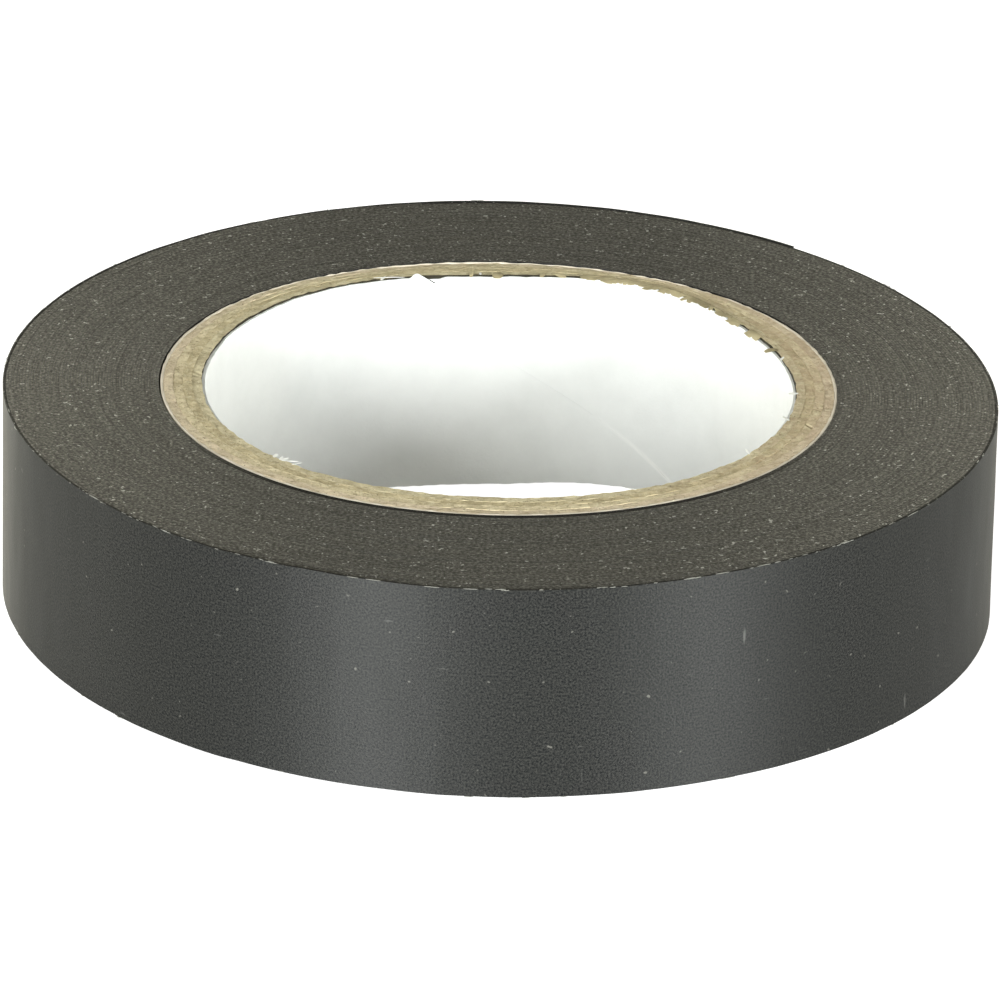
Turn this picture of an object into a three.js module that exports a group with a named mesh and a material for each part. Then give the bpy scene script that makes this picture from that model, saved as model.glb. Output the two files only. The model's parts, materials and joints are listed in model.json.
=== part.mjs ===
// A roll of black PVC electrical tape on a spiral-wound paper core, lying on one side.
//
// Frame: millimetres, +Z up along the roll's axis. The origin is on that axis, at the surface
// the roll lies on. Angles are counter-clockwise from +X, seen from above. The tape's cut end
// is at the back, on the +Y side, and the tape winds inwards counter-clockwise from it.
//
// The core is a laminate of paper plies, each a plain ring. The tape is one long strip: most
// of its turns are one wound pack, and the last turn is drawn on its own as a film with its
// adhesive coat, so that the free end can lift and peel off the roll.

import * as THREE from "three";

// ---- Driving dimensions ------------------------------------------------------------------

const WIDTH = 15; // the tape's width, and the core's
const ROLL_RADIUS = 34; // at the cut end, where the roll is thickest
const CORE_RADIUS = 23; // outside of the paper core
const BORE_RADIUS = 20; // inside of the paper core

const TAPE_THICKNESS = 0.18; // film and adhesive together
const ADHESIVE_THICKNESS = 0.03;
const TAPE_LENGTH = 10000;

const LINER_THICKNESS = 0.2; // the white paper that lines the bore
const COVER_THICKNESS = 0.2; // the pale paper under the first turn of tape
const BOARD_PLIES = 4; // chipboard plies between the liner and the cover

const FACET_DEG = 3.75; // every curved face is made of flats this wide
const END_DEG = 52.5; // where the tape is cut
const FREE_DEG = 37.5; // length of the free end, round the roll

// Slack that keeps neighbouring solids apart.
const PLY_GAP = 0.01;
const FILM_GAP = 0.005;
const JOINT_GAP_DEG = 0.1; // between the free end and the rest of the last turn

// ---- Worked-out sizes --------------------------------------------------------------------

// The pitch that winds TAPE_LENGTH of tape between the core and the outside of the roll.
const PITCH = (Math.PI * (ROLL_RADIUS ** 2 - CORE_RADIUS ** 2)) / TAPE_LENGTH;

const BOARD_THICKNESS =
  (CORE_RADIUS - BORE_RADIUS - LINER_THICKNESS - COVER_THICKNESS) / BOARD_PLIES;

// ---- Outlines ----------------------------------------------------------------------------

// A point at a radius and an angle in degrees.
function polar(radius, degrees) {
  const angle = THREE.MathUtils.degToRad(degrees);
  return new THREE.Vector2(radius * Math.cos(angle), radius * Math.sin(angle));
}

// Outer radius of the last turn, at an angle past the cut end. It shrinks by one pitch a turn.
function lastTurnRadius(pastEnd) {
  return ROLL_RADIUS - (PITCH * pastEnd) / 360;
}

// The angles from one angle to another, with a stop at each facet corner between them.
function facetAngles(fromDeg, toDeg) {
  const angles = [fromDeg];
  let corner = (Math.floor(fromDeg / FACET_DEG) + 1) * FACET_DEG;
  while (corner < toDeg - 1e-6) {
    angles.push(corner);
    corner += FACET_DEG;
  }
  angles.push(toDeg);
  return angles;
}

// A full circle of facet corners.
function circle(radius) {
  return facetAngles(0, 360 - FACET_DEG).map((angle) => polar(radius, angle));
}

// ---- Solids ------------------------------------------------------------------------------

// A flat outline, with or without a hole, raised to the tape's width.
function raise(outline, hole) {
  const shape = new THREE.Shape(outline);
  if (hole) {
    shape.holes.push(new THREE.Path(hole));
  }
  return new THREE.ExtrudeGeometry(shape, { depth: WIDTH, bevelEnabled: false });
}

// A ring between two radii.
function ring(innerRadius, outerRadius) {
  return raise(circle(outerRadius), circle(innerRadius));
}

// Part of the last turn: a strip from one angle past the cut end to another. Its outside lies
// at topDepth below the tape's outer face, and its inside at bottomDepth.
function stripOfLastTurn(fromDeg, toDeg, topDepth, bottomDepth) {
  const angles = facetAngles(fromDeg, toDeg);
  const outside = angles.map((a) => polar(lastTurnRadius(a) - topDepth, END_DEG + a));
  const inside = angles.map((a) => polar(lastTurnRadius(a) - bottomDepth, END_DEG + a));
  return raise([...outside, ...inside.reverse()]);
}

// All the turns under the last one. Its outline follows the spiral, with a step one tape
// thick under the cut end.
function woundPack() {
  const outline = facetAngles(0, 360).map((a) => polar(lastTurnRadius(a) - PITCH, END_DEG + a));
  return raise(outline, circle(CORE_RADIUS + PLY_GAP));
}

// ---- Materials ---------------------------------------------------------------------------

function material(color, roughness) {
  return new THREE.MeshStandardMaterial({ color, roughness, metalness: 0 });
}

const linerPaper = material(0xf2f1ec, 0.8);
const chipboard = material(0xb4a684, 0.9);
const coverPaper = material(0xc9c2a8, 0.9);
const slitTape = material(0x4b4943, 0.7);
const pvcFilm = material(0x34353a, 0.45);
const adhesive = material(0x1c1c1e, 0.3);

// ---- Assembly ----------------------------------------------------------------------------

const roll = new THREE.Group();

function add(name, geometry, finish) {
  const mesh = new THREE.Mesh(geometry, finish);
  mesh.name = name;
  roll.add(mesh);
}

// The paper core, from the bore outwards.
function addCore() {
  let radius = BORE_RADIUS;
  add("core_liner", ring(radius, radius + LINER_THICKNESS - PLY_GAP), linerPaper);
  radius += LINER_THICKNESS;
  for (let ply = 1; ply <= BOARD_PLIES; ply += 1) {
    add(`core_board_ply_${ply}`, ring(radius, radius + BOARD_THICKNESS - PLY_GAP), chipboard);
    radius += BOARD_THICKNESS;
  }
  add("core_cover_ply", ring(radius, CORE_RADIUS), coverPaper);
}

// One layer of the last turn, in two pieces: the free end, which lifts, and the rest, which
// stays on the roll and stops just short of the step under the cut end.
function addLastTurnLayer(layer, topDepth, bottomDepth, finish) {
  const freeTo = FREE_DEG - JOINT_GAP_DEG;
  const wrapTo = 360 - JOINT_GAP_DEG;
  const free = stripOfLastTurn(0, freeTo, topDepth, bottomDepth);
  const wrap = stripOfLastTurn(FREE_DEG, wrapTo, topDepth, bottomDepth);
  add(`last_turn_${layer}`, wrap, finish);
  add(`free_end_${layer}`, free, finish);
}

addCore();
add("wound_tape", woundPack(), slitTape);
const filmBottom = TAPE_THICKNESS - ADHESIVE_THICKNESS - FILM_GAP;
addLastTurnLayer("adhesive", TAPE_THICKNESS - ADHESIVE_THICKNESS, TAPE_THICKNESS, adhesive);
addLastTurnLayer("film", 0, filmBottom, pvcFilm);

export default roll;
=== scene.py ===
import json
import math

import bpy
import numpy as np
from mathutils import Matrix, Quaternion, Vector


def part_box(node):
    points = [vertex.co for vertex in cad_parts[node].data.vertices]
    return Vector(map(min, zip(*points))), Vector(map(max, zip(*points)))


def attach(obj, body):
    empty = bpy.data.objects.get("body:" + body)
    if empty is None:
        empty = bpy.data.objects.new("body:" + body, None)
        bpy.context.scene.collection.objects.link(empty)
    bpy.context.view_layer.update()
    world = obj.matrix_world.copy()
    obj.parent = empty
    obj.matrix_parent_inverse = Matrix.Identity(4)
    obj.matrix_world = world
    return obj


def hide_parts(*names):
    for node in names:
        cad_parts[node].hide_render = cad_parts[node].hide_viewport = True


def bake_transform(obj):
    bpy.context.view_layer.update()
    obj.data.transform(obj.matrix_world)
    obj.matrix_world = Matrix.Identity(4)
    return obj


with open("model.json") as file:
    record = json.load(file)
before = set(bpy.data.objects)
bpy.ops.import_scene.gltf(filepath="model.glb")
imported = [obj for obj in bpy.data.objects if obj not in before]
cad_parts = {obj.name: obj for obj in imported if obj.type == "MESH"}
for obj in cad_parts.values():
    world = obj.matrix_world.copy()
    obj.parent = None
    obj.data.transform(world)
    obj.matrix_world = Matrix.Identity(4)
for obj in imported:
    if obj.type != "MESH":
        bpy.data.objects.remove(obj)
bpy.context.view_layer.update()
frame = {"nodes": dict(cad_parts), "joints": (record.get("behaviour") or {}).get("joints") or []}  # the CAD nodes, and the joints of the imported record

# A roll of black PVC electrical tape on a paper core, built round the imported frame. Units are metres.
#
# The tape is one strip, wound in a true spiral: every turn is in the mesh, with its slit edges.
# "Past" is an angle in degrees from the tape's cut end, counter-clockwise seen from above, so it
# grows by 360 for each turn inwards. The core's plies are rings, with fibrous ends.

MM = 0.001


# ---- Sizes taken from the frame -----------------------------------------------------------------


def radii(node):
    """Smallest and largest distance from the roll's axis of a CAD node's corners."""
    corners = np.array([v.co for v in frame["nodes"][node].data.vertices])
    distance = np.hypot(corners[:, 0], corners[:, 1])
    return distance.min(), distance.max()


def azimuths(node):
    """Smallest and largest angle round the axis of a CAD node's corners, in degrees."""
    corners = np.array([v.co for v in frame["nodes"][node].data.vertices])
    angle = np.degrees(np.arctan2(corners[:, 1], corners[:, 0]))
    return angle.min(), angle.max()


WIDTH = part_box("wound_tape")[1].z
BORE_RADIUS = radii("core_liner")[0]
CORE_RADIUS = radii("core_cover_ply")[1]
ROLL_RADIUS = radii("free_end_film")[1]
HINGE = Vector(frame["joints"][0]["pos_m"])
END_DEG = azimuths("free_end_film")[0]
FREE_DEG = math.degrees(math.atan2(HINGE.y, HINGE.x)) - END_DEG

TAPE_LENGTH = 10.0
TAPE_THICKNESS = 0.18 * MM
PITCH = math.pi * (ROLL_RADIUS**2 - CORE_RADIUS**2) / TAPE_LENGTH
TURNS = (ROLL_RADIUS - TAPE_THICKNESS - CORE_RADIUS) / PITCH
BOARD_NODES = [f"core_board_ply_{ply}" for ply in range(1, 5)]

# The strip is a little narrower than the core, and wanders from side to side as it was wound.
STRIP_WANDER = 0.05 * MM
STRIP_WIDTH = WIDTH - STRIP_WANDER

# The core is slightly oval and not quite upright: its upper end is a little behind the roll's
# centre, and its lower end a little in front. Its wall is pressed thinner at the back.
CORE_GROWN = 0.010
CORE_OVAL = 0.043
CORE_SHIFT = 0.55 * MM
CORE_LEAN = 1.3 * MM
BORE_SHIFT = 0.2 * MM

# Where the wall is pressed: azimuth, half-width in degrees, and how much.
THINNED = [(61, 19, 1.5 * MM), (77, 10, 0.3 * MM), (122, 28, 0.75 * MM)]

# Nothing here is quite round: number of lobes, azimuth of one of them, and their height.
CORE_LOBES = [(1, 180, 0.10 * MM), (2, -45, 0.05 * MM), (4, 45, 0.10 * MM)]
ROLL_LOBES = [(2, -45, 0.22 * MM), (3, -15, 0.07 * MM), (4, -11, 0.12 * MM)]

CAMERA_ELEVATION = 23.6
CAMERA_DISTANCE = 21 * ROLL_RADIUS
CAMERA_LENS = 374.6
CAMERA_ROLL = 1.25
CAMERA_AIM = Vector((0.15 * MM, 0, WIDTH / 2 - 0.88 * MM))


# ---- Seeded unevenness --------------------------------------------------------------------------


def smooth(t):
    return t * t * (3 - 2 * t)


def hump(x, centre, width, power=2):
    """A smooth hump of height 1. A power of 4 gives it a flatter top and steeper sides."""
    return np.exp(-(((x - centre) / width) ** power))


def wander(x, cell, seed, cells=8192):
    """A smooth random value from -1 to 1 that changes over about one cell of x. It repeats after
    a number of cells, so with cell * cells a full circle it closes on itself."""
    table = np.random.default_rng(seed).uniform(-1, 1, cells)
    at = np.asarray(x, float) / cell
    low = np.floor(at).astype(int)
    t = smooth(at - low)
    return table[low % cells] * (1 - t) + table[(low + 1) % cells] * t


def wander_round(degrees, cells, seed):
    """The same, round a circle that is split into so many cells."""
    return wander(degrees, 360 / cells, seed, cells)


def wander_sheet(x, y, cell_x, cell_y, seed, cells_x=1024):
    """The same over a sheet, from -1 to 1. It repeats in x after cells_x cells."""
    rows = 64
    table = np.random.default_rng(seed).uniform(-1, 1, (rows, cells_x))
    at_x, at_y = np.asarray(x, float) / cell_x, np.asarray(y, float) / cell_y
    low_x, low_y = np.floor(at_x).astype(int), np.floor(at_y).astype(int)
    tx, ty = smooth(at_x - low_x), smooth(at_y - low_y)

    def corner(dx, dy):
        return table[(low_y + dy) % rows, (low_x + dx) % cells_x]

    near = corner(0, 0) * (1 - tx) + corner(1, 0) * tx
    far = corner(0, 1) * (1 - tx) + corner(1, 1) * tx
    return near * (1 - ty) + far * ty


# ---- Meshes -------------------------------------------------------------------------------------


def settle(points):
    """Moves points sideways for the shape and place of the core and of the roll's outside. The
    share that follows the core fades out from the core to the outside."""
    x, y, z = np.array(points, float).T
    distance = np.hypot(x, y)
    azimuth = np.degrees(np.arctan2(y, x))
    share = np.clip((ROLL_RADIUS - distance) / (ROLL_RADIUS - CORE_RADIUS), 0, 1)
    inner = np.clip((CORE_RADIUS - distance) / (CORE_RADIUS - BORE_RADIUS), 0, 1)

    def lobed(lobes):
        return sum(high * np.cos(count * np.radians(azimuth - at)) for count, at, high in lobes)

    pressed = inner * sum(deep * hump(azimuth, at, wide) for at, wide, deep in THINNED)
    outwards = share * lobed(CORE_LOBES) + (1 - share) * lobed(ROLL_LOBES) + pressed
    grown = 1 + outwards / distance + share * CORE_GROWN
    shift = share * (CORE_SHIFT - CORE_LEAN * (1 - z / WIDTH)) + inner * BORE_SHIFT
    return np.stack([x * grown, y * grown * (1 - CORE_OVAL * share) + shift, z], -1)


def cylinder_points(radius, degrees, height):
    """Points from a radius, an angle and a height, which may be arrays of one shape."""
    angle = np.radians(degrees)
    return np.stack(np.broadcast_arrays(radius * np.cos(angle), radius * np.sin(angle), height), -1)


def signed_volume(points, quads):
    a, b, c, d = (points[quads[:, k]] for k in range(4))
    first = np.einsum("ij,ij->i", a, np.cross(b, c)).sum()
    second = np.einsum("ij,ij->i", a, np.cross(c, d)).sum()
    return first + second


def new_piece(name, points, faces, materials, sharp_deg):
    """An object of its own in the scene. Edges that turn by more than sharp_deg stay crisp."""
    mesh = bpy.data.meshes.new(name)
    mesh.from_pydata(settle(points).tolist(), [], faces)
    for material in materials:
        mesh.materials.append(material)
    mesh.shade_smooth()
    mesh.set_sharp_from_angle(angle=math.radians(sharp_deg))
    piece = bpy.data.objects.new(name, mesh)
    bpy.context.scene.collection.objects.link(piece)
    return piece


def sweep(name, points, materials, finish, ring=False, skin=None):
    """A closed mesh through a row of closed sections: points[station, corner]. finish gives each
    side of the section the number of its material. A ring's last station meets its first, and an
    open sweep gets end caps. skin holds, for each point, where it is on the material."""
    stations, corners = points.shape[:2]
    index = np.arange(stations * corners).reshape(stations, corners)
    across = np.roll(index, -1, axis=1)
    ahead, ahead_across = np.roll(index, -1, axis=0), np.roll(across, -1, axis=0)
    quads = np.stack([index, ahead, ahead_across, across], -1)
    if not ring:
        quads = quads[:-1]
    number = np.broadcast_to(np.array(finish), quads.shape[:2]).ravel()
    quads = quads.reshape(-1, 4)
    flat = points.reshape(-1, 3)
    inside_out = signed_volume(flat, quads) < 0
    if inside_out:
        quads = quads[:, ::-1]
    faces = quads.tolist()
    if not ring:
        first, last = index[0].tolist(), index[-1].tolist()[::-1]
        faces += [first[::-1], last[::-1]] if inside_out else [first, last]
        number = np.concatenate([number, [finish[0]] * 2])

    piece = new_piece(name, flat, faces, materials, sharp_deg=35)
    piece.data.polygons.foreach_set("material_index", number.astype(np.int32))
    if skin is not None:
        attribute = piece.data.attributes.new("skin", "FLOAT_VECTOR", "POINT")
        attribute.data.foreach_set("vector", skin.reshape(-1).astype(np.float32))
    piece.data.update()
    return piece


def strand(path, side, lift, width, thickness):
    """A thin tapered strand along a path. Its section is a flat hexagon, between two directions."""
    stations = len(path)
    taper = (np.sin(np.linspace(0.12, 0.88, stations) * math.pi) ** 0.6)[:, None, None]
    turn = np.radians(np.arange(0, 360, 60))
    section = np.cos(turn)[:, None] * side * width / 2 + np.sin(turn)[:, None] * lift * thickness / 2
    return path[:, None, :] + section[None] * taper


def bundle(name, strands, material):
    """One mesh of many strands, which all have as many sections as each other."""
    strands = np.array(strands)
    index = np.arange(strands[..., 0].size).reshape(strands.shape[:3])
    across = np.roll(index, -1, axis=2)
    sides = np.stack([index[:, :-1], index[:, 1:], across[:, 1:], across[:, :-1]], -1)
    sides = sides.reshape(-1, 4)
    ends = [index[:, 0], index[:, -1, ::-1]]
    if signed_volume(strands.reshape(-1, 3), sides) < 0:
        sides = sides[:, ::-1]
        ends = [end[:, ::-1] for end in ends]
    faces = sides.tolist() + ends[0].tolist() + ends[1].tolist()
    return new_piece(name, strands.reshape(-1, 3), faces, [material], sharp_deg=40)


# ---- The wound strip ----------------------------------------------------------------------------


def outer_radius(past):
    """The radius of the tape's outer face, as wound."""
    return ROLL_RADIUS - PITCH * past / 360


def along_tape(past):
    """Length of tape from the cut end."""
    return np.radians(past) * (ROLL_RADIUS - PITCH * past / 720)


# ---- Materials ----------------------------------------------------------------------------------


class Nodes:
    """Short-hand for building one material's nodes."""

    def __init__(self, name):
        self.material = bpy.data.materials.new(name)
        self.material.use_nodes = True
        self.tree = self.material.node_tree
        self.shader = self.tree.nodes["Principled BSDF"]

    def add(self, kind, inputs=None, **settings):
        node = self.tree.nodes.new(kind)
        for key, value in settings.items():
            setattr(node, key, value)
        for key, value in (inputs or {}).items():
            self.feed(node.inputs[key], value)
        return node

    def feed(self, socket, value):
        if isinstance(value, bpy.types.NodeSocket):
            self.tree.links.new(value, socket)
        else:
            socket.default_value = value

    def place(self):
        """Where a point is on the roll, in metres."""
        return self.add("ShaderNodeTexCoord").outputs["Object"]

    def skin(self):
        """Where a point is on the strip or ply it belongs to, in metres."""
        attribute = self.add("ShaderNodeAttribute", attribute_name="skin")
        return attribute.outputs["Vector"]

    def scaled(self, vector, scale):
        inputs = {0: vector, 1: scale}
        return self.add("ShaderNodeVectorMath", inputs, operation="MULTIPLY").outputs[0]

    def noise(self, vector, scale, detail=3.0, roughness=0.6):
        inputs = {"Vector": vector, "Scale": scale, "Detail": detail, "Roughness": roughness}
        return self.add("ShaderNodeTexNoise", inputs).outputs["Fac"]

    def ramp(self, value, low, high, to_low=0.0, to_high=1.0):
        inputs = {"Value": value, "From Min": low, "From Max": high, "To Min": to_low, "To Max": to_high}
        return self.add("ShaderNodeMapRange", inputs).outputs["Result"]

    def math(self, operation, a, b):
        return self.add("ShaderNodeMath", {0: a, 1: b}, operation=operation).outputs[0]

    def mix(self, share, a, b):
        node = self.add("ShaderNodeMix", data_type="RGBA")
        self.feed(node.inputs["Factor"], share)
        self.feed(node.inputs["A"], a)
        self.feed(node.inputs["B"], b)
        return node.outputs["Result"]

    def bump(self, height, distance, normal=None):
        inputs = {"Height": height, "Distance": distance, "Strength": 1.0}
        if normal is not None:
            inputs["Normal"] = normal
        return self.add("ShaderNodeBump", inputs).outputs["Normal"]

    def brushed(self, amount):
        """Stretches the gloss across the strip, because the film is drawn and slit lengthways."""
        around = self.add("ShaderNodeTangent", direction_type="RADIAL", axis="Z").outputs["Tangent"]
        self.feed(self.shader.inputs["Tangent"], around)
        self.feed(self.shader.inputs["Anisotropic"], amount)
        self.feed(self.shader.inputs["Anisotropic Rotation"], 0.25)

    def finish(self, **sockets):
        names = {
            "color": "Base Color",
            "roughness": "Roughness",
            "normal": "Normal",
            "ior": "IOR",
            "glow": "Emission Strength",
        }
        for key, value in sockets.items():
            self.feed(self.shader.inputs[names[key]], value)
        return self.material


def tone(red, green, blue):
    return (red, green, blue, 1.0)


def film_material():
    """The outer face of the tape: satin black calendered PVC, with a fine grain."""
    n = Nodes("pvc_film")
    skin = n.skin()
    grain = n.noise(skin, 7000, 2)
    cloud = n.noise(n.scaled(skin, (1, 0.35, 1)), 260, 4)
    drawn = n.noise(n.scaled(skin, (1, 0.03, 1)), 2600, 3)
    color = n.mix(n.ramp(grain, 0.34, 0.66), tone(0.001, 0.002, 0.003), tone(0.032, 0.032, 0.029))
    speck = n.ramp(n.noise(skin, 1700, 1), 0.74, 0.80)
    color = n.mix(n.math("MULTIPLY", speck, 0.6), color, tone(0.18, 0.175, 0.155))
    for stretch in ((0.35, 1.6, 1), (1.8, 0.25, 1)):
        scuff = n.ramp(n.noise(n.scaled(skin, stretch), 900, 1), 0.76, 0.82)
        color = n.mix(n.math("MULTIPLY", scuff, 0.5), color, tone(0.15, 0.15, 0.14))
    roughness = n.ramp(n.math("ADD", cloud, n.math("MULTIPLY", grain, 0.7)), 0.5, 1.2, 0.43, 0.57)
    normal = n.bump(drawn, 0.004 * MM)
    normal = n.bump(grain, 0.016 * MM, normal)
    n.brushed(0.7)
    return n.finish(color=color, roughness=roughness, normal=normal, ior=1.4)


def edge_material(name, low, high, ior, middle=1.0, sides=1.0):
    """A slit edge of the tape: dull, speckled, and streaked along the strip. The innermost turns
    are darkened at the front by painted shade. The colour is multiplied by one number in the
    middle and another at the left and right, a painted sheen: gloss there would glare from behind."""
    n = Nodes(name)
    skin = n.skin()
    along = n.add("ShaderNodeSeparateXYZ", {0: skin}).outputs["X"]
    place = n.add("ShaderNodeSeparateXYZ", {0: n.place()})
    # Painted shade: the innermost turn and a half are darkened, most at the front, for the shade that the
    # core's lip casts there.
    innermost = along_tape(360 * (TURNS - 1.5))
    in_shade = n.ramp(along, innermost, innermost + 1 * MM, 0, 1)
    in_shade = n.math("MULTIPLY", in_shade, n.ramp(place.outputs["Y"], -18 * MM, -6 * MM, 0.85, 0.1))
    streak = n.noise(n.scaled(skin, (1, 0, 40)), 45, 3)
    short = n.noise(n.scaled(skin, (1, 0, 300)), 300, 3)
    grain = n.noise(n.place(), 4600, 3)
    share = n.math("ADD", n.math("MULTIPLY", streak, 0.6), n.math("MULTIPLY", short, 0.4))
    color = n.mix(n.ramp(share, 0.38, 0.62), low, high)
    color = n.mix(n.ramp(grain, 0.46, 0.60, 0, 0.62), color, tone(0.022, 0.021, 0.019))
    color = n.mix(n.ramp(grain, 0.44, 0.30, 0, 0.42), color, tone(0.24, 0.23, 0.20))
    speck = n.ramp(n.noise(n.place(), 2900, 1), 0.69, 0.75)
    color = n.mix(n.math("MULTIPLY", speck, 0.6), color, tone(0.42, 0.415, 0.38))
    color = n.mix(in_shade, color, tone(0.012, 0.011, 0.010))
    # Painted sheen: the colour is scaled up towards the left and right, in place of the slit edges'
    # gloss.
    sideways = n.math("ABSOLUTE", place.outputs["X"], 0.0)
    sheen = n.ramp(sideways, 10 * MM, ROLL_RADIUS, middle, sides)
    color = n.add("ShaderNodeVectorMath", {0: color, "Scale": sheen}, operation="SCALE").outputs[0]
    normal = n.bump(grain, 0.02 * MM)
    n.brushed(0.7)
    return n.finish(color=color, roughness=0.5, normal=normal, ior=ior)


def adhesive_material():
    """The sticky face: glossier and blacker than the film, and faintly lumpy."""
    n = Nodes("adhesive_coat")
    skin = n.skin()
    lump = n.noise(skin, 1400, 3)
    color = n.mix(lump, tone(0.010, 0.010, 0.010), tone(0.018, 0.017, 0.016))
    roughness = n.ramp(n.noise(skin, 500, 3), 0.3, 0.7, 0.22, 0.42)
    return n.finish(color=color, roughness=roughness, normal=n.bump(lump, 0.02 * MM), ior=1.48)


def board_material(name, low, high, seed):
    """Grey-brown chipboard: pressed waste fibre, mottled, with pale and dark flecks, and darker
    towards the back and pinker towards the right."""
    n = Nodes(name)
    place = n.add("ShaderNodeVectorMath", {0: n.place(), 1: (seed, 0, 0)}, operation="ADD").outputs[0]
    cloud = n.noise(place, 700, 4)
    fibre = n.noise(n.scaled(place, (1, 1, 3)), 2600, 4, 0.7)
    fleck = n.noise(place, 4200, 2)
    color = n.mix(n.ramp(cloud, 0.38, 0.62), low, high)
    color = n.mix(n.ramp(fibre, 0.52, 0.68, 0, 0.7), color, tone(0.72, 0.66, 0.47))
    color = n.mix(n.ramp(fibre, 0.46, 0.30, 0, 0.6), color, tone(0.24, 0.19, 0.10))
    color = n.mix(n.ramp(fleck, 0.64, 0.72, 0, 0.8), color, tone(0.16, 0.12, 0.07))
    side = n.add("ShaderNodeSeparateXYZ", {0: n.place()})
    # Darker towards the back and pinker towards the right, by place on the roll.
    for axis, side_tone in (("Y", tone(0.36, 0.32, 0.19)), ("X", tone(0.44, 0.32, 0.215))):
        share = n.ramp(side.outputs[axis], 6 * MM, 20 * MM, 0, 0.5)
        share = n.math("MULTIPLY", share, n.ramp(n.noise(place, 900, 3), 0.35, 0.6))
        color = n.mix(share, color, side_tone)
    normal = n.bump(fibre, 0.14 * MM)
    return n.finish(color=color, roughness=0.92, normal=normal, ior=1.4)


def paper_material(name, low, high, rough):
    """Smooth paper, with faint cloudiness and a fine tooth."""
    n = Nodes(name)
    cloud = n.noise(n.place(), 350, 4)
    tooth = n.noise(n.place(), 5000, 3)
    color = n.mix(n.ramp(cloud, 0.3, 0.7), low, high)
    return n.finish(color=color, roughness=rough, normal=n.bump(tooth, 0.02 * MM), ior=1.4)


def liner_material():
    """Smooth white paper. A painted highlight lies as a whiter line along the lower part of the seam."""
    n = Nodes("liner_paper")
    cloud = n.noise(n.place(), 350, 4)
    tooth = n.noise(n.place(), 5000, 3)
    color = n.mix(n.ramp(cloud, 0.3, 0.7), tone(0.76, 0.77, 0.76), tone(0.81, 0.82, 0.81))
    across = n.add("ShaderNodeSeparateXYZ", {0: n.skin()})
    # Painted highlight of the lapped edge: whiter near the seam, and only in its lower part.
    seam_highlight = n.ramp(n.math("ABSOLUTE", across.outputs["X"], 0.0), 0.03 * MM, 0.2 * MM, 0.7, 0)
    low_down = n.ramp(across.outputs["Y"], 2 * MM, 5 * MM, 1, 0)
    color = n.mix(n.math("MULTIPLY", seam_highlight, low_down), color, tone(0.93, 0.93, 0.91))
    return n.finish(color=color, roughness=0.75, normal=n.bump(tooth, 0.02 * MM), ior=1.4)


FILM = film_material()
# The slit edges of the inner turns, with a painted sheen towards the left and right.
EDGE = edge_material("slit_edge", tone(0.066, 0.063, 0.055), tone(0.103, 0.0995, 0.087), 1.06, 1.3, 2.06)
# The outermost turn's slit edges: the same edge, painted much darker as painted shade along the rim.
SHADED_RIM = edge_material("outermost_edge_shaded", tone(0.008, 0.008, 0.007), tone(0.036, 0.034, 0.030), 1.2)
ADHESIVE = adhesive_material()
BOARDS = [
    board_material("chipboard_olive", tone(0.45, 0.39, 0.25), tone(0.64, 0.57, 0.38), 0.0),
    board_material("chipboard_dark", tone(0.44, 0.37, 0.225), tone(0.62, 0.53, 0.335), 0.1),
    board_material("chipboard_tan", tone(0.53, 0.45, 0.29), tone(0.70, 0.61, 0.41), 0.2),
    board_material("chipboard_pink", tone(0.53, 0.44, 0.31), tone(0.70, 0.59, 0.43), 0.3),
]
COVER = paper_material("cover_paper", tone(0.58, 0.52, 0.43), tone(0.70, 0.64, 0.54), 0.85)
LINER = liner_material()
# Glue, darkened to near black as painted shade of the gap above the sunk liner.
GLUE_AND_PAINTED_SHADE = paper_material("glue_line_and_painted_shade", tone(0.014, 0.012, 0.006), tone(0.036, 0.030, 0.016), 0.8)
FIBRE = paper_material("torn_fibre", tone(0.15, 0.125, 0.065), tone(0.47, 0.41, 0.25), 0.9)
SHRED = paper_material("white_shreds", tone(0.82, 0.82, 0.79), tone(0.90, 0.90, 0.88), 0.8)
# Film whitened by the knife, painted paler still as a painted highlight on the burrs.
WHITENED_AND_GLINT = paper_material("whitened_film_and_glint", tone(0.18, 0.18, 0.165), tone(0.44, 0.44, 0.40), 0.6)


# ---- The tape -----------------------------------------------------------------------------------

CROWN_DROP = 0.008 * MM  # how far a slit edge falls from its middle to its corners
CROWN_INSET = 0.03 * MM
LIFTED_DEG = 15.0  # the stretch at the cut end that stands off the roll
END_LIFT = 0.02 * MM
LIP = 0.12 * MM
LIP_AT, LIP_SPREAD = 196, 16  # past the cut end, in degrees: the front left
FILM_WAVE = 0.010 * MM
BEND_DEG = 9.0  # degrees back from the peel line to a point that is worked out but not used
RAGGED_RIMS = [(15, 166, 7), (30, 218, 24)]  # how many burrs, past the cut end, spread in degrees


def side_step(past):
    """How far the strip has wandered towards the top side, from 0 to STRIP_WANDER."""
    length = along_tape(past)
    drift = 0.45 * wander(length, 0.9, 11) + 0.3 * wander(length, 0.11, 12)
    drift = drift + 0.17 * wander(length, 0.023, 13) + 0.08 * wander(length, 0.005, 14)
    return STRIP_WANDER * (0.5 + 0.5 * np.clip(drift, -1, 1))


def lip(past):
    """How far the last turn's slit edge stands proud of the turns under it: most at the front
    left, and a little here and there."""
    ragged = 0.5 + 0.5 * wander(past, 4.0, 15)
    high = hump(past, LIP_AT, LIP_SPREAD)
    fade = np.clip((360 - past) / 60, 0, 1)
    return LIP * fade * (0.25 * ragged + high * (0.5 + 0.5 * ragged))


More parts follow.
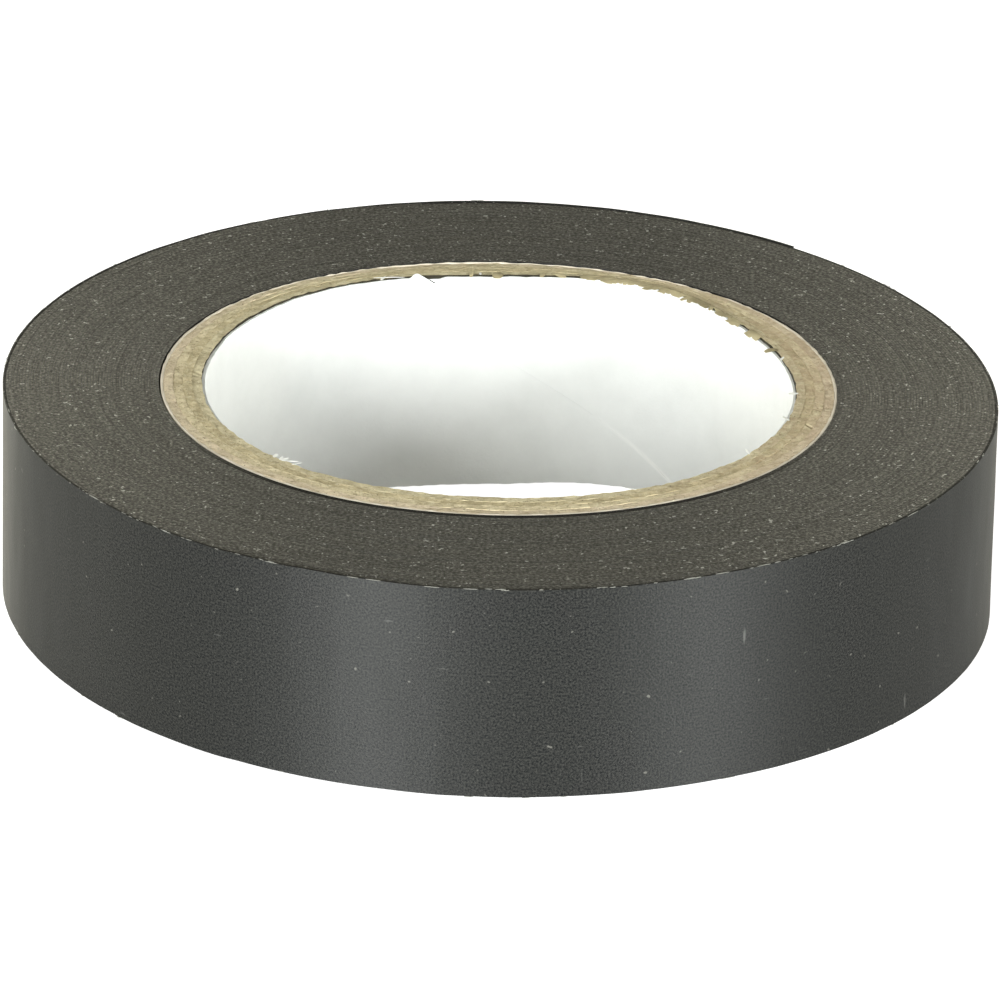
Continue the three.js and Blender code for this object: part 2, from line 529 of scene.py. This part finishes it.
def strip(name, past_from, past_to, step_deg, rows, edge, wave=0.0):
    """The tape from one angle past its cut end to another, with its outer face in so many rows."""
    stations = max(2, round((past_to - past_from) / step_deg) + 1)
    past = np.linspace(past_from, past_to, stations)
    low, high = CROWN_DROP, STRIP_WIDTH - CROWN_DROP
    face = np.linspace(low, high, rows + 1)
    inset, far_inset = CROWN_INSET, TAPE_THICKNESS - CROWN_INSET
    depth = [0] * (rows + 1) + [inset, far_inset] + [TAPE_THICKNESS] * (rows + 1) + [far_inset, inset]
    height = [*face, STRIP_WIDTH, STRIP_WIDTH, *face[::-1], 0, 0]
    finish = [0] * rows + [1] * 3 + [2] * rows + [1] * 3
    depth, height = np.array(depth, float), np.array(height, float)

    lift = END_LIFT * np.clip(1 - past / LIFTED_DEG, 0, 1) ** 2
    radius = (outer_radius(past) + lift)[:, None] - depth
    azimuth = np.broadcast_to((END_DEG + past)[:, None], radius.shape)
    level = (side_step(past) + lip(past))[:, None] + height
    if wave:
        radius = radius + wave * wander_sheet(azimuth, level, 2.0, 3 * MM, 21, 180)
    skin = np.stack(np.broadcast_arrays(along_tape(past)[:, None], level, depth + 0 * radius), -1)
    return sweep(name, cylinder_points(radius, azimuth, level), [FILM, edge, ADHESIVE], finish, skin=skin)


def make_tape():
    """Three lengths of the one strip. They meet under the last turn, and at the peel line."""
    under_deg = 360 + FREE_DEG + 10
    wound = strip("wound_turns", under_deg, 360 * TURNS, 2.0, 1, EDGE)
    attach(wound, "roll")
    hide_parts("wound_tape")

    last = strip("last_turn", FREE_DEG, under_deg, 0.75, 14, SHADED_RIM, wave=FILM_WAVE)
    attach(last, "roll")
    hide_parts("last_turn_film", "last_turn_adhesive")

    free = strip("peeling_end", 0, FREE_DEG, 0.5, 14, SHADED_RIM, wave=FILM_WAVE)
    bend_end = cylinder_points(ROLL_RADIUS, END_DEG + FREE_DEG - BEND_DEG, HINGE.z)
    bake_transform(free)
    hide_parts("free_end_film", "free_end_adhesive")


def rim_burrs():
    """Torn slivers of film along the rims, whitened where the slitting knife stretched them, and
    painted paler as a painted highlight where they catch the light. They are on the part of the
    last turn that stays on the roll."""
    draw = np.random.default_rng(71)
    gathered = [(at, spread) for count, at, spread in RAGGED_RIMS for _ in range(count)]
    strands = []
    for number in range(120):
        past = draw.uniform(FREE_DEG + 2, 352)
        if number < len(gathered):
            past = draw.normal(*gathered[number])
        length = draw.uniform(0.15, 0.5) * MM if number % 4 else draw.uniform(0.5, 1.1) * MM
        on_top = number % 5 != 0
        along = np.linspace(-0.5, 0.5, 7)
        bow = (1 - 4 * along**2) * draw.uniform(-0.02, 0.08) * MM
        radius = outer_radius(past) - draw.uniform(-0.02, 0.10) * MM + bow * draw.uniform(0, 1)
        edge = side_step(past) + lip(past) + (STRIP_WIDTH if on_top else 0)
        level = edge + (1 if on_top else -1) * bow * draw.uniform(0, 0.7)
        azimuth = END_DEG + past + np.degrees(along * length / ROLL_RADIUS)
        path = cylinder_points(radius, azimuth, np.clip(level, 0.03 * MM, None))
        out = cylinder_points(1.0, azimuth[3], 0.0)
        width = draw.uniform(0.05, 0.11) * MM
        strands.append(strand(path, out, np.array([0, 0, 1.0]), width, 0.04 * MM))
    burrs = bundle("rim_burrs", strands, WHITENED_AND_GLINT)
    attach(burrs, "roll")


# ---- The core -----------------------------------------------------------------------------------

SEAM_SLOPE = math.radians(33)  # of the plies' helix, from level
SEAM_FOOT_DEG = 50.7  # where the liner's seam meets the lower end
LINER_SUNK = 0.17 * MM  # how far the liner's upper edge lies below the boards
CURL = 1.4 * MM  # how far the liner's lower edge has come loose at the back
CURL_DEG, CURL_SPREAD = 100, 35
TAG_DEG = 106.8  # where a tag of the liner stands up instead, with a deeper gap beside it


def ring_angles(step_deg, fine_at=(), fine_deg=1.2, fine_step=0.08):
    """Angles round a circle, closer together near the places named."""
    angles = [np.arange(0, 360, step_deg)]
    for centre in fine_at:
        angles.append(np.arange(centre - fine_deg, centre + fine_deg, fine_step) % 360)
    return np.unique(np.round(np.concatenate(angles), 4))


def board_ply(ply, node):
    """One chipboard ply: a ring with rough cut ends, and a notch where its strip butts."""
    inner, outer = radii(node)
    innermost = node == BOARD_NODES[0]
    seam_deg = (95 + 83 * ply) % 360
    angles = ring_angles(0.4, [seam_deg])
    across = np.linspace(inner, outer, 6)
    wall = np.array([0.04, 0.5, 0.96]) * WIDTH
    radius = np.concatenate([across, np.full(3, outer), across[::-1], np.full(3, inner)])
    height = np.concatenate([np.full(6, WIDTH), wall[::-1], np.zeros(6), wall])
    is_top = np.concatenate([np.ones(6), np.zeros(3 + 6 + 3)])
    is_bottom = np.concatenate([np.zeros(6 + 3), np.ones(6), np.zeros(3)])
    azimuth = np.broadcast_to(angles[:, None], (len(angles), len(radius)))

    def rough(seed):
        fine = wander_sheet(azimuth, radius, 1.2, 0.25 * MM, seed, 300)
        broad = wander_round(azimuth, 24, seed + 1)
        return 0.08 * MM * (fine + 1) / 2 + 0.06 * MM * (broad + 1) / 2

    notch = hump(azimuth + 2 * (radius - inner) / MM, seam_deg, 0.22)
    sunk = 0.25 * MM * notch
    level = height - is_top * (rough(31 * ply) + sunk) + is_bottom * (rough(37 * ply) + sunk)
    finish = [0] * len(radius)
    # The innermost board's inner face takes the glue colour, painted near black as painted shade over the
    # sunk liner.
    if innermost:
        finish[-4:] = [1] * 4
        torn = wander_round(azimuth, 200, 81) * 0.05 * MM + wander_round(azimuth, 48, 82) * 0.05 * MM
        radius = radius + (height == WIDTH) * (radius == inner) * torn
    points = cylinder_points(radius, azimuth, level)
    piece = sweep(f"board_ply_{ply}", points, [BOARDS[ply - 1], GLUE_AND_PAINTED_SHADE], finish, ring=True)
    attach(piece, "roll")
    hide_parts(node)


def cover_ply():
    """The pale outer ply, a thin ring that stands a hair proud of the boards."""
    inner, outer = radii("core_cover_ply")
    angles = ring_angles(0.5)
    azimuth = np.broadcast_to(angles[:, None], (len(angles), 8))
    inset, drop = 0.05 * MM, 0.03 * MM
    across = np.array([inner, inner + inset, outer - inset, outer])
    radius = np.concatenate([across, across[::-1]])
    height = np.array([WIDTH - drop, WIDTH, WIDTH, WIDTH - drop, drop, 0, 0, drop])
    top = np.array([1, 1, 1, 1, 0, 0, 0, 0])
    ragged = 0.04 * MM * (wander_round(azimuth, 300, 51) + 1) * top
    level = height - ragged
    piece = sweep("cover_ply", cylinder_points(radius, azimuth, level), [COVER], [0] * 8, ring=True)
    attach(piece, "roll")
    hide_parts("core_cover_ply")


def liner_ply():
    """The white liner. Its mesh leans with the helix, so that the seam runs along its columns."""
    inner, outer = radii("core_liner")
    seam_step = 0.02 * MM
    angles = ring_angles(0.4, [SEAM_FOOT_DEG], 1.6, 0.1)
    rows = 24
    face = np.linspace(0, 1, rows + 1)
    height = np.concatenate([face, face[::-1]]) * WIDTH
    bore = np.concatenate([np.ones(rows + 1), np.zeros(rows + 1)])
    radius = np.where(bore == 1, inner, outer)
    lean = np.degrees(height / (inner * math.tan(SEAM_SLOPE)))
    start = np.broadcast_to(angles[:, None], (len(angles), len(radius)))
    azimuth = start + lean

    past_seam = (start - SEAM_FOOT_DEG + 180) % 360 - 180
    lap = seam_step * np.exp(-np.clip(past_seam, 0, None) / 6) * (past_seam > -0.05)
    dimple = 0.07 * MM * wander_sheet(azimuth, height + 0 * azimuth, 12, 4 * MM, 61, 30)
    loose = CURL * np.exp(-height / (2.5 * MM)) * hump(azimuth, CURL_DEG, CURL_SPREAD)
    radius = radius - bore * (lap + dimple) - loose
    ragged = 0.03 * MM * (wander_round(azimuth, 240, 62) + wander_round(azimuth, 40, 63) + 2)
    tag = 0.27 * MM * hump(azimuth, TAG_DEG, 0.9, 4)
    gap = 0.14 * MM * hump(azimuth, TAG_DEG - 3.2, 1.9, 4)
    at_top, at_bottom = height == WIDTH, height == 0
    level = height - at_top * (LINER_SUNK + ragged + gap - tag) + at_bottom * ragged
    beside = np.radians(past_seam) * inner * math.sin(SEAM_SLOPE) + 0 * level
    skin = np.stack([beside, level, 0 * level], -1)
    points = cylinder_points(radius, azimuth, level)
    piece = sweep("liner_ply", points, [LINER], [0] * len(height), ring=True, skin=skin)
    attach(piece, "roll")
    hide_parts("core_liner")


def hanging_strands(name, azimuths, material, draw, rise, widest):
    """Shreds along the upper inner edge of the core, which reach over the liner."""
    strands = []
    for azimuth in azimuths:
        reach = np.linspace(0, 1, 6)
        length = draw.uniform(0.05, 0.45) * MM
        slant = draw.normal(0, 1.8)
        radius = BORE_RADIUS + 0.35 * MM - reach * draw.uniform(0.4, 0.75) * MM
        level = WIDTH - 0.01 * MM + rise * reach**2 * length
        path = cylinder_points(radius, azimuth + slant * reach, level)
        side = cylinder_points(1.0, azimuth + 90, 0.0)
        width = draw.uniform(0.2, 1) * widest
        strands.append(strand(path, side, np.array([0, 0, 1.0]), width, 0.05 * MM))
    piece = bundle(name, strands, material)
    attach(piece, "roll")
    return piece


def torn_paper():
    """Fibres torn from the boards, mostly at the back right, and shreds of the white liner."""
    draw = np.random.default_rng(72)
    places = np.concatenate([draw.normal(57, 13, 60), draw.uniform(20, 100, 12)])
    fibres = hanging_strands("board_fibres", places, FIBRE, draw, -0.7, 1.2 * MM)
    places = np.concatenate([draw.normal(-134, 2.5, 5), draw.uniform(0, 360, 8)])
    shreds = hanging_strands("liner_shreds", places, SHRED, draw, 0.1, 0.45 * MM)


def make_core():
    liner_ply()
    for ply, node in enumerate(BOARD_NODES, 1):
        board_ply(ply, node)
    cover_ply()
    torn_paper()


# ---- Stage, light and camera --------------------------------------------------------------------

# The floor is a light table. It looks brighter than the light that it throws on the roll, so it
# stays white without washing out the bore.
FLOOR_GLOW = 0.19
FLOOR_LOOK = 0.85


def make_floor():
    mesh = bpy.data.meshes.new("floor")
    half = 4.0
    corners = [(-half, -half, 0), (half, -half, 0), (half, half, 0), (-half, half, 0)]
    mesh.from_pydata(corners, [], [(0, 1, 2, 3)])
    n = Nodes("floor")
    seen = n.add("ShaderNodeLightPath").outputs["Is Camera Ray"]
    glow = n.ramp(seen, 0, 1, FLOOR_GLOW, FLOOR_LOOK)
    mesh.materials.append(n.finish(color=tone(0.6, 0.6, 0.6), roughness=0.9, glow=glow))
    floor = bpy.data.objects.new("floor", mesh)
    bpy.context.scene.collection.objects.link(floor)


FRONT_TINT = (0.97, 1.0, 0.99)
BACK_TINT = (1.0, 0.96, 0.77)


def add_light(name, azimuth, elevation, distance, size, power, tint=BACK_TINT):
    """A soft box that faces the roll, at an angle round it counter-clockwise from +X. Its size is
    its width and its height."""
    light = bpy.data.lights.new(name, "AREA")
    light.shape = "RECTANGLE"
    light.size, light.size_y = size
    light.energy = power
    light.color = tint
    holder = bpy.data.objects.new(name, light)
    up = math.radians(elevation)
    turn = math.radians(azimuth)
    away = Vector((math.cos(turn) * math.cos(up), math.sin(turn) * math.cos(up), math.sin(up)))
    holder.location = away * distance
    holder.rotation_mode = "QUATERNION"
    holder.rotation_quaternion = (-away).to_track_quat("-Z", "Y")
    holder.visible_camera = False
    bpy.context.scene.collection.objects.link(holder)


def make_light():
    world = bpy.data.worlds.new("studio")
    world.use_nodes = True
    background = world.node_tree.nodes["Background"]
    background.inputs["Color"].default_value = tone(*BACK_TINT)
    background.inputs["Strength"].default_value = 0.18
    bpy.context.scene.world = world
    add_light("left_box", -117, 11, 1.3, (0.37, 0.65), 28, FRONT_TINT)
    add_light("right_box", -44, 9, 1.3, (0.27, 0.55), 20.2, FRONT_TINT)
    add_light("far_left_box", 163, 19, 1.4, (0.6, 0.6), 5.5)
    add_light("far_right_box", 15, 20, 1.4, (0.6, 0.6), 2.6)
    add_light("back_right_box", 62, 6, 1.4, (0.5, 0.2), 3.6)
    add_light("back_left_box", 116, 3, 1.4, (0.5, 0.2), 12)
    add_light("back_box", 90, 55, 1.4, (1.2, 1.2), 2.0, FRONT_TINT)


def make_camera():
    data = bpy.data.cameras.new("camera")
    data.lens = CAMERA_LENS
    data.sensor_width = 36
    data.clip_start, data.clip_end = 0.05, 20
    camera = bpy.data.objects.new("camera", data)
    up = math.radians(CAMERA_ELEVATION)
    back = Vector((0, -math.cos(up), math.sin(up)))
    camera.location = CAMERA_AIM + back * CAMERA_DISTANCE
    camera.rotation_mode = "QUATERNION"
    roll = Quaternion((0, 0, 1), math.radians(CAMERA_ROLL))
    camera.rotation_quaternion = (-back).to_track_quat("-Z", "Y") @ roll
    bpy.context.scene.collection.objects.link(camera)
    bpy.context.scene.camera = camera


make_tape()
rim_burrs()
make_core()
make_floor()
make_light()
make_camera()
bpy.context.scene.view_settings.view_transform = "Standard"
